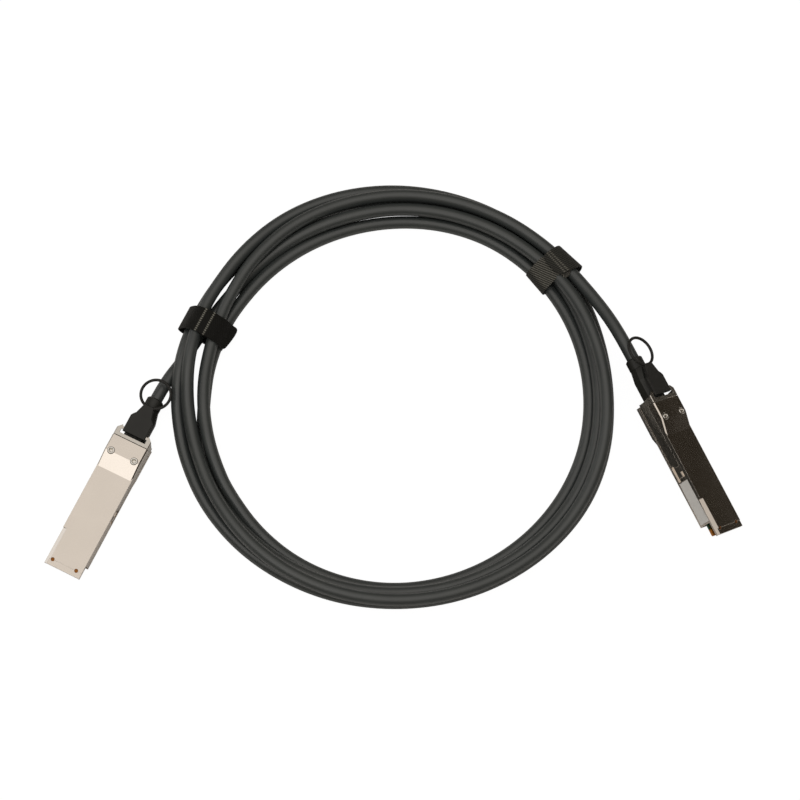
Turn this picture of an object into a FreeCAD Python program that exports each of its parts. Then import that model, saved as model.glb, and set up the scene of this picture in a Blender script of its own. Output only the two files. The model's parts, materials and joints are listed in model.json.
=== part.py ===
"""Direct attach copper cable: two die-cast plugs on a coiled twinax cord, held by two straps.

Every plug is modelled in its own plug frame, then placed: X runs from the nose back to the
cord, Y across the plug, Z up from the underside of the body.  All lengths are millimetres.
"""
import math
import os

import FreeCAD
import Part
import Sketcher
from FreeCAD import Placement, Rotation, Vector

SIZES = {
    # the plug's body
    "plug_width": 18.35, "body_height": 8.5, "head_rise": 2.3, "head_drop": 1.0,
    "slope_start": 52.0, "slope_end": 60.3, "under_slope_start": 51.0, "under_slope_end": 54.6,
    "shell_rear": 68.5, "sill_rear": 70.5, "parting_level": 0.9, "joint_gap": 0.05,
    "top_wall": 1.3, "side_wall": 0.8, "shell_edge": 0.5, "root_overlap": 0.02,
    # the open nose
    "hood_level": 6.6, "base_front": 7.0, "lip_length": 2.9, "lip_step": 0.3,
    "dimple_dia": 1.8, "dimple_depth": 0.7, "dimple_spacing": 12.4, "pin_set": 0.42,
    "nose_bevel_length": 18.7, "nose_bevel_width": 1.9, "nose_bevel_depth": 1.0,
    # room inside
    "card_room_rear": 27.5, "card_tail_gap": 0.2, "card_tail_room_rear": 38.5,
    "wire_room": 5.0, "clamp_room": 4.6, "clamp_room_front": 56.0,
    # latch recess in each side, with its keeper
    "recess_front": 30.3, "recess_floor": 1.6, "recess_top": 6.7, "recess_depth": 0.8,
    "arm_margin": 0.3,
    "keeper_front": 31.8, "keeper_length": 2.6, "keeper_height": 2.6,
    # latch slider, one stamping
    "slider_sheet": 0.55, "bridge_edge": 0.5, "slider_clearance": 0.12,
    "arm_tip": 37.3, "arm_tip_taper": 1.6,
    "bridge_front": 68.8, "bridge_rear": 74.3, "slot_front": 70.4, "bar_front": 72.4,
    "bar_rear": 73.7, "ear_leg": 2.35, "ear_corner": 2.0, "ear_foot": 71.4,
    "ear_knee": 4.7, "ear_waist": 71.9, "ear_waist_level": 8.0, "latch_travel": 2.3,
    "spring_tab": 41.0, "spring_tab_height": 2.0, "spring_tab_reach": 2.3,
    # return springs
    "spring_dia": 2.2, "spring_wire": 0.35, "spring_length": 8.4, "spring_pitch": 1.9,
    "spring_level": 4.0, "spring_clearance": 0.1, "spring_pocket_half": 1.35,
    # paddle card and what is on it
    "card_front": 1.0, "card_rear": 36.0, "card_side_gap": 0.175, "card_tail_width": 14.4,
    "card_bottom": 3.3, "card_thick": 1.0, "card_bevel": 0.4, "card_step": 27.0,
    "contact_width": 0.55, "contact_margin": 1.0, "contact_rear": 6.6, "contact_thick": 0.05,
    "contact_count": 19, "chip_length": 4.0, "chip_width": 3.0, "chip_height": 0.9,
    "chip_front": 16.0, "chip_edge": 0.2, "post_dia": 2.2,
    "post_station": 12.0, "post_spacing": 12.0,
    # rivets through both shells
    "rivet_station": 60.8, "rivet_spacing": 12.2, "rivet_head_dia": 3.5, "rivet_head_height": 0.75,
    "rivet_shank_dia": 1.7, "rivet_clearance": 0.1, "rivet_bore_dia": 1.9, "rivet_curl": 0.2,
    "rivet_recess_depth": 0.5,
    # cord, crimp, twin conductors and moulded strain relief
    "cord_dia": 6.1, "cord_level": 4.25, "crimp_front": 57.5, "crimp_length": 6.9,
    "crimp_dia": 5.8, "crimp_bore": 5.0, "pair_dia": 1.05, "pair_pitch": 1.15,
    "pair_spread": 3.2, "pair_lap": 3.0, "pair_tuck": 0.6, "pair_lift": 0.12,
    "boot_front": 64.5, "boot_flange_length": 1.6, "boot_flange_width": 12.6,
    "boot_flange_height": 7.2, "boot_width": 10.8, "boot_height": 7.0, "boot_level": 4.55,
    "boot_shoulder": 82.0, "boot_corner": 1.6, "collar_front": 88.0, "collar_rear": 93.1,
    "collar_dia": 8.3, "collar_bevel": 0.6, "neck_width": 7.6, "neck_corner": 2.2,
    # pull tab with its finger ring
    "tab_front": 71.7, "tab_side_gap": 0.9, "tab_level": 9.75, "tab_thick": 1.7,
    "tab_shoulder": 80.2, "tab_waist": 82.4, "tab_waist_width": 8.2, "tab_hip_width": 10.2,
    "tab_neck": 87.8,
    "tab_neck_width": 5.0, "tab_edge": 0.4, "ring_centre": 94.2, "ring_dia": 14.2,
    "ring_wire": 1.4,
    # side label, left blank
    "label_front": 7.9, "label_rear": 29.8, "label_bottom": 1.25, "label_top": 6.9,
    "label_inset": 0.15, "label_thick": 0.12, "label_gap": 0.08,
    # coil of cord, an eccentric ring of laid turns
    "coil_outer_dia": 211.6, "coil_width": 17.8, "coil_x": -0.4, "coil_y": 33.4,
    "hole_shift_x": 1.6, "hole_shift_y": -4.1, "coil_lift": 1.0, "coil_height": 12.2,
    "coil_round": 4.4, "coil_shoulder": 6.0,
    # hook-and-loop straps
    "strap_sheet": 0.9, "strap_width": 12.2, "strap_slack": 0.1, "strap_corner": 4.4,
    "left_strap_angle": 160.1, "left_strap_turn": 153.5, "left_strap_room": 1.0,
    "left_lap_start": -6.5, "left_lap_end": 12.0,
    "right_strap_angle": 39.3, "right_strap_turn": 38.7, "right_strap_room": 0.7,
    "right_lap_start": -9.0, "right_lap_end": 6.0,
    # where the plugs lie
    "left_nose_x": -154.75, "left_nose_y": -53.3, "left_yaw": 63.5,
    "right_nose_x": 151.6, "right_nose_y": -36.7, "right_yaw": 116.5, "right_lift": 4.4,
    "right_roll": 37.5,
}

# Free cord from each boot to the coil: how far it runs straight out of the boot, then
# hand-laid points in the model's frame.
LEFT_TAIL = 10.0, [(-104.5, 51.0, 5.2), (-101.4, 62.6, 4.4)]
RIGHT_TAIL = 10.0, [(101.9, 67.6, 14.4), (94.3, 78.8, 11.8), (86.0, 89.6, 10.2)]

# Half widths that several pieces share: the slot that the tab passes, and the card's front.
SLOT_HALF = "( plug_width / 2 - slider_clearance - ear_leg )"
CARD_HALF = "( plug_width / 2 - side_wall - card_side_gap )"

doc = FreeCAD.newDocument("direct_attach_cable")
sheet = doc.addObject("Spreadsheet::Sheet", "Sizes")
for row, (alias, value) in enumerate(SIZES.items(), start=1):
    sheet.set("A%d" % row, alias.replace("_", " "))
    sheet.set("B%d" % row, str(value))
    sheet.setAlias("B%d" % row, alias)
doc.recompute()


def size(alias):
    """A driving dimension, read back from the sheet."""
    return float(getattr(sheet, alias))


def value_of(formula):
    """The number that a sheet formula, such as 'plug_width / 2', gives."""
    if isinstance(formula, (int, float)):
        return float(formula)
    return float(sheet.evalExpression(formula))


def bound(formula):
    """The same formula as an expression for another object: each alias gets its sheet's name."""
    words = []
    for word in str(formula).replace("(", " ( ").replace(")", " ) ").split():
        words.append("Sizes." + word if word in SIZES else word)
    return " ".join(words)


# ---------------------------------------------------------------- modelling helpers

def new_body(label):
    """An empty body that may hold several separate solids, such as a pair of rivets."""
    body = doc.addObject("PartDesign::Body", label)
    body.Label = label
    body.AllowCompound = True
    return body


def new_sketch(body, plane, offset=0, name="Sketch"):
    """A sketch on one of the body's own origin planes, moved along its normal by offset."""
    sketch = body.newObject("Sketcher::SketchObject", name)
    role = [f for f in body.Origin.OriginFeatures if f.Role == plane][0]
    sketch.AttachmentSupport = [(role, "")]
    sketch.MapMode = "FlatFace"
    if offset != 0:
        sketch.setExpression("AttachmentOffset.Base.z", bound(offset))
    return sketch


def draw_outline(sketch, corners):
    """A closed outline through corners given as pairs of sheet formulas, every one dimensioned."""
    spots = [Vector(value_of(u), value_of(v), 0) for u, v in corners]
    first = sketch.GeometryCount
    for here, there in zip(spots, spots[1:] + spots[:1]):
        sketch.addGeometry(Part.LineSegment(here, there), False)
    count = len(spots)
    for i in range(count):
        sketch.addConstraint(Sketcher.Constraint(
            "Coincident", first + i, 2, first + (i + 1) % count, 1))
    for i, (u, v) in enumerate(corners):
        for kind, formula, number in (("DistanceX", u, spots[i].x), ("DistanceY", v, spots[i].y)):
            index = sketch.addConstraint(Sketcher.Constraint(
                kind, -1, 1, first + i, 1, number))
            if not isinstance(formula, (int, float)):
                sketch.setExpression("Constraints[%d]" % index, bound(formula))


def draw_circle(sketch, u, v, diameter):
    """A circle with its centre and diameter tied to sheet formulas."""
    centre = Vector(value_of(u), value_of(v), 0)
    at = sketch.addGeometry(
        Part.Circle(centre, Vector(0, 0, 1), value_of(diameter) / 2), False)
    for kind, formula, number in (("DistanceX", u, centre.x), ("DistanceY", v, centre.y)):
        index = sketch.addConstraint(Sketcher.Constraint(kind, -1, 1, at, 3, number))
        if not isinstance(formula, (int, float)):
            sketch.setExpression("Constraints[%d]" % index, bound(formula))
    index = sketch.addConstraint(Sketcher.Constraint("Diameter", at, value_of(diameter)))
    sketch.setExpression("Constraints[%d]" % index, bound(diameter))


def draw_round_box(sketch, u_low, v_low, u_high, v_high, radius):
    """A rectangle with round corners: four arcs on dimensioned centres, joined by tangents."""
    r = value_of(radius)
    corners = [("%s - %s" % (u_high, radius), "%s - %s" % (v_high, radius)),
               ("%s + %s" % (u_low, radius), "%s - %s" % (v_high, radius)),
               ("%s + %s" % (u_low, radius), "%s + %s" % (v_low, radius)),
               ("%s - %s" % (u_high, radius), "%s + %s" % (v_low, radius))]
    arcs = []
    for quarter, (u, v) in enumerate(corners):
        circle = Part.Circle(Vector(value_of(u), value_of(v), 0), Vector(0, 0, 1), r)
        start = quarter * math.pi / 2
        arcs.append(sketch.addGeometry(
            Part.ArcOfCircle(circle, start, start + math.pi / 2), False))
    for quarter, (u, v) in enumerate(corners):
        arc, following = arcs[quarter], arcs[(quarter + 1) % 4]
        line = sketch.addGeometry(Part.LineSegment(
            sketch.getPoint(arc, 2), sketch.getPoint(following, 1)), False)
        sketch.addConstraint(Sketcher.Constraint("Tangent", arc, 2, line, 1))
        sketch.addConstraint(Sketcher.Constraint("Tangent", line, 2, following, 1))
    for arc, (u, v) in zip(arcs, corners):
        for kind, formula in (("DistanceX", u), ("DistanceY", v)):
            index = sketch.addConstraint(Sketcher.Constraint(
                kind, -1, 1, arc, 3, value_of(formula)))
            sketch.setExpression("Constraints[%d]" % index, bound(formula))
        index = sketch.addConstraint(Sketcher.Constraint("Radius", arc, r))
        sketch.setExpression("Constraints[%d]" % index, bound(radius))


def box_corners(u_low, v_low, u_high, v_high):
    """The four corners of a rectangle."""
    return [(u_low, v_low), (u_high, v_low), (u_high, v_high), (u_low, v_high)]


def mirror_outline(half):
    """A closed outline from its half on the positive side, reflected in the plug's middle."""
    return half + [(u, "-( %s )" % v) for u, v in reversed(half)]


def pad(body, sketch, length, symmetric=False, downward=False):
    feature = body.newObject("PartDesign::Pad", "Pad")
    feature.Profile = sketch
    feature.setExpression("Length", bound(length))
    feature.Midplane = symmetric
    feature.Reversed = downward
    sketch.Visibility = False
    return feature


def pocket(body, sketch, length, symmetric=False, upward=False):
    """A pocket that must remove material, against the sketch normal unless upward."""
    doc.recompute()
    before = body.Shape.Volume
    feature = body.newObject("PartDesign::Pocket", "Pocket")
    feature.Profile = sketch
    feature.setExpression("Length", bound(length))
    feature.Midplane = symmetric
    feature.Reversed = upward
    doc.recompute()
    if body.Shape.Volume > before - 1e-4:
        raise RuntimeError("%s: a pocket removed nothing" % body.Label)
    return feature


def mirrored(body, features):
    """The features again on the other side of the plug's middle plane."""
    feature = body.newObject("PartDesign::Mirrored", "Mirrored")
    plane = [f for f in body.Origin.OriginFeatures if f.Role == "XZ_Plane"][0]
    feature.MirrorPlane = (plane, [""])
    feature.Originals = features
    body.Tip = feature
    doc.recompute()
    return feature


def edge_names(shape, wanted, lengthwise=False):
    """Names of the edges whose two ends pass the test; lengthwise leaves out those across."""
    names = []
    for number, edge in enumerate(shape.Edges, start=1):
        ends = [vertex.Point for vertex in edge.Vertexes]
        if len(ends) != 2 or not all(wanted(point) for point in ends):
            continue
        if not lengthwise or near(ends[0].y, ends[1].y):
            names.append("Edge%d" % number)
    return names


def soften(body, kind, amount, wanted, lengthwise=False):
    """A fillet or chamfer on the edges that the test picks out."""
    doc.recompute()
    return dress(body, kind, amount, edge_names(body.Tip.Shape, wanted, lengthwise))


def dress(body, kind, amount, names):
    """A fillet or chamfer on named edges of the body as it stands."""
    if not names:
        raise RuntimeError("%s: no edges to soften" % body.Label)
    base = body.Tip
    feature = body.newObject("PartDesign::" + kind, kind)
    feature.Base = (base, names)
    feature.setExpression("Radius" if kind == "Fillet" else "Size", bound(amount))
    doc.recompute()
    if "Invalid" in feature.State:
        raise RuntimeError("%s: %s failed on %s" % (body.Label, kind, names))
    return feature


def near(a, b, within=0.02):
    return abs(a - b) < within


# ---------------------------------------------------------------- the pieces of a plug

def upper_shell(label):
    """Die-cast top half: roof, side walls, open hood at the nose and raised head at the rear."""
    body = new_body(label)
    side = new_sketch(body, "XZ_Plane")
    head = "body_height + head_rise"
    draw_outline(side, [
        (0, "hood_level"), ("base_front + joint_gap", "hood_level"),
        ("base_front + joint_gap", "parting_level + joint_gap"),
        ("sill_rear", "parting_level + joint_gap"), ("sill_rear", "recess_top"),
        ("shell_rear", "recess_top"), ("shell_rear", head), ("slope_end", head),
        ("slope_start", "body_height"), ("lip_length", "body_height"),
        ("lip_length", "body_height - lip_step"), (0, "body_height - lip_step")])
    pad(body, side, "plug_width", symmetric=True)
    doc.recompute()
    half = "plug_width / 2"
    soften(body, "Chamfer", "shell_edge", lambda p: near(abs(p.y), size("plug_width") / 2)
           and p.x > size("slope_start") - 0.01 and p.z > size("body_height") - 0.01, True)

    # bevel along one upper edge of the nose
    bevel = new_sketch(body, "YZ_Plane")
    draw_outline(bevel, [(half + " - nose_bevel_width", "body_height + 1"),
                         (half + " - nose_bevel_width", "body_height"),
                         (half, "body_height - nose_bevel_depth"),
                         (half + " + 1", "body_height - nose_bevel_depth"),
                         (half + " + 1", "body_height + 1")])
    pocket(body, bevel, "nose_bevel_length", upward=True)

    # room for the card, the conductors and the crimp, open below
    room = new_sketch(body, "XY_Plane", "parting_level")
    front_room = half + " - side_wall"
    tail_room = "card_tail_width / 2 + card_tail_gap"
    draw_outline(room, mirror_outline([
        (-1, front_room), ("card_room_rear", front_room), ("card_room_rear", tail_room),
        ("card_tail_room_rear", tail_room), ("card_tail_room_rear", "wire_room"),
        ("clamp_room_front", "wire_room"), ("clamp_room_front", "clamp_room"),
        ("boot_front - joint_gap", "clamp_room"),
        ("boot_front - joint_gap", "boot_flange_width / 2 + joint_gap"),
        ("boot_front + boot_flange_length + joint_gap", "boot_flange_width / 2 + joint_gap"),
        ("boot_front + boot_flange_length + joint_gap", "boot_width / 2 + joint_gap"),
        ("sill_rear + 1", "boot_width / 2 + joint_gap")]))
    pocket(body, room, "body_height - top_wall - parting_level", upward=True)
    throat = new_sketch(body, "XY_Plane", "parting_level")
    draw_outline(throat, box_corners(
        "boot_front - joint_gap", "-( boot_flange_width / 2 + joint_gap )",
        "boot_front + boot_flange_length + joint_gap", "boot_flange_width / 2 + joint_gap"))
    pocket(body, throat, "boot_level + boot_flange_height / 2 + joint_gap - parting_level",
           upward=True)
    door = new_sketch(body, "XY_Plane", "parting_level")
    draw_outline(door, box_corners("boot_front", "-( boot_width / 2 + joint_gap )",
                                   "sill_rear + 1", "boot_width / 2 + joint_gap"))
    pocket(body, door, "boot_level + boot_height / 2 + joint_gap - parting_level", upward=True)

    # posts that hold the card down
    post = new_sketch(body, "XY_Plane", "card_bottom + card_thick + contact_thick")
    draw_circle(post, "post_station", "post_spacing / 2", "post_dia")
    draw_circle(post, "post_station", "-( post_spacing / 2 )", "post_dia")
    pad(body, post,
        "body_height - top_wall - card_bottom - card_thick - contact_thick + root_overlap")
    doc.recompute()

    # latch recess down each side, open at the rear, with a keeper block left standing in it
    recess = new_sketch(body, "XZ_Plane", "-( plug_width / 2 )")
    draw_outline(recess, box_corners("recess_front", "recess_floor", "sill_rear + 1",
                                     "recess_top"))
    middle = "( recess_floor + recess_top ) / 2"
    draw_outline(recess, box_corners(
        "keeper_front", middle + " - keeper_height / 2",
        "keeper_front + keeper_length", middle + " + keeper_height / 2"))
    slot = pocket(body, recess, "recess_depth", upward=True)
    nest = new_sketch(body, "XZ_Plane", "-( plug_width / 2 - recess_depth )")
    draw_outline(nest, box_corners(
        "spring_tab - joint_gap", "spring_level - spring_pocket_half",
        "spring_tab + slider_sheet + 2 * spring_clearance + spring_length",
        "spring_level + spring_pocket_half"))
    deep = pocket(body, nest, "spring_dia + 2 * spring_clearance", upward=True)
    mirrored(body, [slot, deep])

    # shallow seat for the label, on one side
    seat = new_sketch(body, "XZ_Plane", "-( plug_width / 2 )")
    draw_outline(seat, box_corners("label_front", "label_bottom", "label_rear", "label_top"))
    pocket(body, seat, "label_inset", upward=True)

    # two round dimples behind the nose lip
    dimple = new_sketch(body, "XY_Plane", "body_height")
    for across in ("dimple_spacing / 2", "-( dimple_spacing / 2 )"):
        draw_circle(dimple, "lip_length", across, "dimple_dia")
    pocket(body, dimple, "dimple_depth")

    # rivet seats and holes
    for diameter, depth in (("rivet_head_dia + rivet_clearance", "rivet_recess_depth"),
                            ("rivet_shank_dia + rivet_clearance", "body_height + head_rise")):
        holes = new_sketch(body, "XY_Plane", head)
        for across in ("rivet_spacing / 2", "-( rivet_spacing / 2 )"):
            draw_circle(holes, "rivet_station", across, diameter)
        pocket(body, holes, depth)
    return body


def lower_shell(label):
    """Cast base: a thin plate that steps down under the head, with posts under the card."""
    body = new_body(label)
    side = new_sketch(body, "XZ_Plane")
    draw_outline(side, [("base_front", 0), ("under_slope_start", 0),
                        ("under_slope_end", "-( head_drop )"), ("sill_rear", "-( head_drop )"),
                        ("sill_rear", "parting_level"), ("base_front", "parting_level")])
    pad(body, side, "plug_width", symmetric=True)
    soften(body, "Chamfer", "shell_edge", lambda p: near(abs(p.y), size("plug_width") / 2)
           and p.z < 0.01, True)
    posts = new_sketch(body, "XY_Plane", "parting_level")
    draw_circle(posts, "post_station", "post_spacing / 2", "post_dia")
    draw_circle(posts, "post_station", "-( post_spacing / 2 )", "post_dia")
    pad(body, posts, "card_bottom - parting_level")
    cradle = new_sketch(body, "XY_Plane", "parting_level")
    draw_outline(cradle, box_corners("crimp_front", "-( crimp_dia / 4 )",
                                     "crimp_front + crimp_length / 2", "crimp_dia / 4"))
    pad(body, cradle, "cord_level - crimp_dia / 2 - parting_level - joint_gap")
    doc.recompute()
    holes = new_sketch(body, "XY_Plane", "parting_level")
    for across in ("rivet_spacing / 2", "-( rivet_spacing / 2 )"):
        draw_circle(holes, "rivet_station", across, "rivet_shank_dia + rivet_clearance")
    pocket(body, holes, "parting_level + head_drop")
    return body


def nose_pins(label):
    """Two bronze locating pins, pressed in flush behind the nose lip."""
    body = new_body(label)
    ends = new_sketch(body, "XY_Plane", "body_height - dimple_depth")
    for across in ("dimple_spacing / 2", "-( dimple_spacing / 2 )"):
        draw_circle(ends, "lip_length", across, "dimple_dia - joint_gap")
    pad(body, ends, "dimple_depth - pin_set")
    return body


def rivets(label):
    """Two semi-tubular rivets: a ring head sunk in the roof and a shank through the base."""
    body = new_body(label)
    profile = new_sketch(body, "XZ_Plane", "-( rivet_spacing / 2 )")
    seat = "body_height + head_rise - rivet_recess_depth"
    axis = "rivet_station"
    draw_outline(profile, [
        (axis, "-( head_drop )"), (axis + " + rivet_shank_dia / 2", "-( head_drop )"),
        (axis + " + rivet_shank_dia / 2", seat), (axis + " + rivet_head_dia / 2", seat),
        (axis + " + rivet_head_dia / 2", seat + " + rivet_head_height - rivet_curl"),
        (axis + " + rivet_head_dia / 2 - rivet_curl", seat + " + rivet_head_height"),
        (axis + " + rivet_bore_dia / 2 + rivet_curl", seat + " + rivet_head_height"),
        (axis + " + rivet_bore_dia / 2", seat + " + rivet_head_height - rivet_curl"),
        (axis + " + rivet_shank_dia / 4", seat + " - rivet_head_height"),
        (axis, seat + " - rivet_head_height")])
    turned = body.newObject("PartDesign::Revolution", "Revolution")
    turned.Profile = profile
    turned.ReferenceAxis = (profile, ["Edge10"])
    turned.Angle = 360
    doc.recompute()
    mirrored(body, [turned])
    return body


def latch_slider(label):
    """Stamped steel stirrup: two side arms, rear ears and a slotted bridge over the cord."""
    body = new_body(label)
    inner_face = "plug_width / 2 - slider_clearance - slider_sheet"
    arm = new_sketch(body, "XZ_Plane", "-( plug_width / 2 - slider_clearance )")
    floor = "recess_floor + arm_margin"
    ceiling = "recess_top - arm_margin"
    draw_outline(arm, [
        ("arm_tip", floor + " + arm_tip_taper"), ("arm_tip + arm_tip_taper", floor),
        ("ear_foot", floor), ("ear_foot", "ear_knee"), ("ear_waist", "ear_waist_level"),
        ("bridge_rear - ear_corner", "body_height + head_rise"),
        ("bridge_front", "body_height + head_rise"), ("bridge_front", ceiling),
        ("arm_tip", ceiling)])
    plate = pad(body, arm, "slider_sheet")
    doc.recompute()
    tab = new_sketch(body, "XZ_Plane", "-( " + inner_face + " + root_overlap )")
    draw_outline(tab, box_corners(
        "spring_tab", "spring_level - spring_tab_height / 2",
        "spring_tab + slider_sheet", "spring_level + spring_tab_height / 2"))
    push = pad(body, tab, "spring_tab_reach")
    doc.recompute()
    mirrored(body, [plate, push])
    bridge = new_sketch(body, "XY_Plane", "body_height + head_rise - slider_sheet")
    half = "plug_width / 2 - slider_clearance"
    draw_outline(bridge, mirror_outline([
        ("bridge_front", half), ("bridge_rear - ear_corner", half),
        ("bridge_rear", half + " - ear_corner"), ("bridge_rear", SLOT_HALF),
        ("bar_rear", SLOT_HALF)]))
    draw_outline(bridge, box_corners("slot_front", "-( %s )" % SLOT_HALF, "bar_front",
                                     SLOT_HALF))
    pad(body, bridge, "slider_sheet")
    side, top = size("plug_width") / 2 - size("slider_clearance"), value_of(
        "body_height + head_rise")
    soften(body, "Fillet", "bridge_edge", lambda p: near(abs(p.y), side) and near(p.z, top), True)
    return body


def pull_tab(label):
    """Moulded tab gripped on the slider's bar, waisted towards a thin finger ring."""
    body = new_body(label)
    plan = new_sketch(body, "XY_Plane", "tab_level")
    draw_outline(plan, mirror_outline([
        ("tab_front", SLOT_HALF + " - tab_side_gap"),
        ("tab_shoulder", SLOT_HALF + " - tab_side_gap"),
        ("( tab_shoulder + tab_waist ) / 2", "tab_hip_width / 2"),
        ("tab_waist", "tab_waist_width / 2"), ("tab_neck", "tab_neck_width / 2")]))
    pad(body, plan, "tab_thick")
    top = size("tab_level") + size("tab_thick")
    soften(body, "Fillet", "tab_edge", lambda p: near(p.z, top))
    ring = body.newObject("PartDesign::AdditiveTorus", "Ring")
    plane = [f for f in body.Origin.OriginFeatures if f.Role == "XY_Plane"][0]
    ring.AttachmentSupport = [(plane, "")]
    ring.MapMode = "FlatFace"
    ring.setExpression("AttachmentOffset.Base.x", bound("ring_centre"))
    ring.setExpression("AttachmentOffset.Base.z", bound("tab_level + tab_thick / 2"))
    ring.setExpression("Radius1", bound("ring_dia / 2"))
    ring.setExpression("Radius2", bound("ring_wire / 2"))
    doc.recompute()
    grip = new_sketch(body, "XZ_Plane")
    draw_outline(grip, box_corners(
        "bar_front - joint_gap", "body_height + head_rise - slider_sheet - joint_gap",
        "bar_rear + joint_gap", "body_height + head_rise + joint_gap"))
    pocket(body, grip, "plug_width", symmetric=True)
    return body


def return_springs(label):
    """A small compression spring in each side pocket, pushing the slider forward."""
    body = new_body(label)
    mid = "plug_width / 2 - recess_depth - spring_dia / 2 - spring_clearance"
    wire = new_sketch(body, "XZ_Plane", "-( " + mid + " )")
    start = "spring_tab + slider_sheet + spring_clearance + spring_wire / 2"
    draw_circle(wire, start, "spring_level + spring_dia / 2 - spring_wire / 2", "spring_wire")
    axis = wire.addGeometry(Part.LineSegment(
        Vector(value_of(start), value_of("spring_level"), 0),
        Vector(value_of(start) + 1, value_of("spring_level"), 0)), True)
    for kind, at, formula in (("DistanceX", 1, start), ("DistanceY", 1, "spring_level"),
                              ("DistanceX", 2, start + " + 1"), ("DistanceY", 2, "spring_level")):
        index = wire.addConstraint(Sketcher.Constraint(kind, -1, 1, axis, at, value_of(formula)))
        wire.setExpression("Constraints[%d]" % index, bound(formula))
    helix = body.newObject("PartDesign::AdditiveHelix", "Helix")
    helix.Profile = wire
    helix.ReferenceAxis = (wire, ["Axis0"])
    helix.Mode = 0
    helix.setExpression("Pitch", bound("spring_pitch"))
    helix.setExpression("Height", bound("spring_length - 2 * spring_wire"))
    doc.recompute()
    mirrored(body, [helix])
    return body


def paddle_card(label):
    """The circuit card: wide at the contacts, narrower behind, with a lead-in at its edge."""
    body = new_body(label)
    plan = new_sketch(body, "XY_Plane", "card_bottom")
    draw_outline(plan, mirror_outline([
        ("card_front", CARD_HALF + " - card_bevel"), ("card_front + card_bevel", CARD_HALF),
        ("card_step", CARD_HALF), ("card_step", "card_tail_width / 2"),
        ("card_rear", "card_tail_width / 2")]))
    pad(body, plan, "card_thick")
    return body


def gold_contacts(label):
    """Two rows of plated fingers, one on each face of the card's leading edge."""
    body = new_body(label)
    for level, name in (("card_bottom + card_thick", "Upper"),
                        ("card_bottom - contact_thick", "Lower")):
        finger = new_sketch(body, "XY_Plane", level, name)
        first = CARD_HALF + " - contact_margin"
        draw_outline(finger, box_corners(
            "card_front + card_bevel", "-( %s + contact_width / 2 )" % first,
            "contact_rear", "-( %s - contact_width / 2 )" % first))
        one = pad(body, finger, "contact_thick")
        doc.recompute()
        row = body.newObject("PartDesign::LinearPattern", name + "Row")
        row.Originals = [one]
        row.Direction = (finger, ["V_Axis"])
        row.setExpression("Length", bound("2 * ( %s )" % first))
        row.setExpression("Occurrences", bound("contact_count"))
        body.Tip = row
        doc.recompute()
    return body


def id_chip(label):
    """The small memory chip that tells the port what cord is plugged in."""
    body = new_body(label)
    plan = new_sketch(body, "XY_Plane", "card_bottom + card_thick")
    draw_outline(plan, box_corners("chip_front", "-( chip_width / 2 )",
                                   "chip_front + chip_length", "chip_width / 2"))
    pad(body, plan, "chip_height")
    soften(body, "Chamfer", "chip_edge", lambda p: near(
        p.z, size("card_bottom") + size("card_thick") + size("chip_height")))
    return body


def crimp_ferrule(label):
    """Metal ring crimped over the cord's end, where the conductors leave the jacket."""
    body = new_body(label)
    face = new_sketch(body, "YZ_Plane", "crimp_front")
    draw_circle(face, 0, "cord_level", "crimp_dia")
    draw_circle(face, 0, "cord_level", "crimp_bore")
    pad(body, face, "crimp_length")
    return body


def wire_pairs(label):
    """Eight screened pairs that fan out from the crimp to pads on both faces of the card."""
    solids = []
    tucked = size("crimp_front") + size("pair_tuck")
    front = size("card_rear") - size("pair_lap")
    card_faces = (size("card_bottom") + size("card_thick"), size("card_bottom"))
    for face, outward in zip(card_faces, (1, -1)):
        for lane in (-1.5, -0.5, 0.5, 1.5):
            on_card = Vector(front, lane * size("pair_spread"),
                             face + outward * (size("pair_dia") / 2 + size("pair_lift")))
            in_crimp = Vector(tucked, lane * size("pair_pitch"),
                              size("cord_level") + outward * size("pair_pitch") / 2)
            way = in_crimp - on_card
            solids.append(Part.makeCylinder(size("pair_dia") / 2, way.Length, on_card, way))
    piece = doc.addObject("Part::Feature", label)
    piece.Label = label
    piece.Shape = Part.makeCompound(solids)
    return piece


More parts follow.
